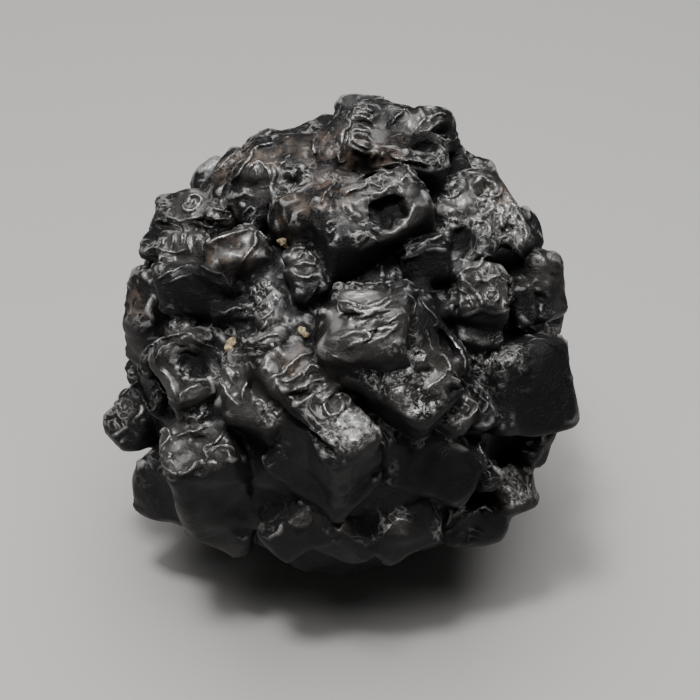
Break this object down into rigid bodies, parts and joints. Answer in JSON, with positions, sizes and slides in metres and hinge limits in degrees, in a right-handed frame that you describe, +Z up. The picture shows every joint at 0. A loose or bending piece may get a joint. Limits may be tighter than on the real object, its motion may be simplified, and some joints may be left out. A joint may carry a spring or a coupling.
{
  "type": "prophecy stone",
  "caption": "Dark iron-oxide nodule: blocky crystals crowded together over a rounded core, with ridged and pitted faces and a flat crystal end to rest on.",
  "frame": {"origin": "middle of the flat crystal end on which the stone rests, straight under the middle of the stone", "axes": "+Z up, -Y towards the side that the picture shows, +X to the picture's right"},
  "size_m": [0.0508, 0.0549, 0.0533],
  "materials": {
    "iron_oxide": "satin"
  },
  "bodies": {
    "root": {"stone": "iron_oxide"}
  },
  "joints": []
}
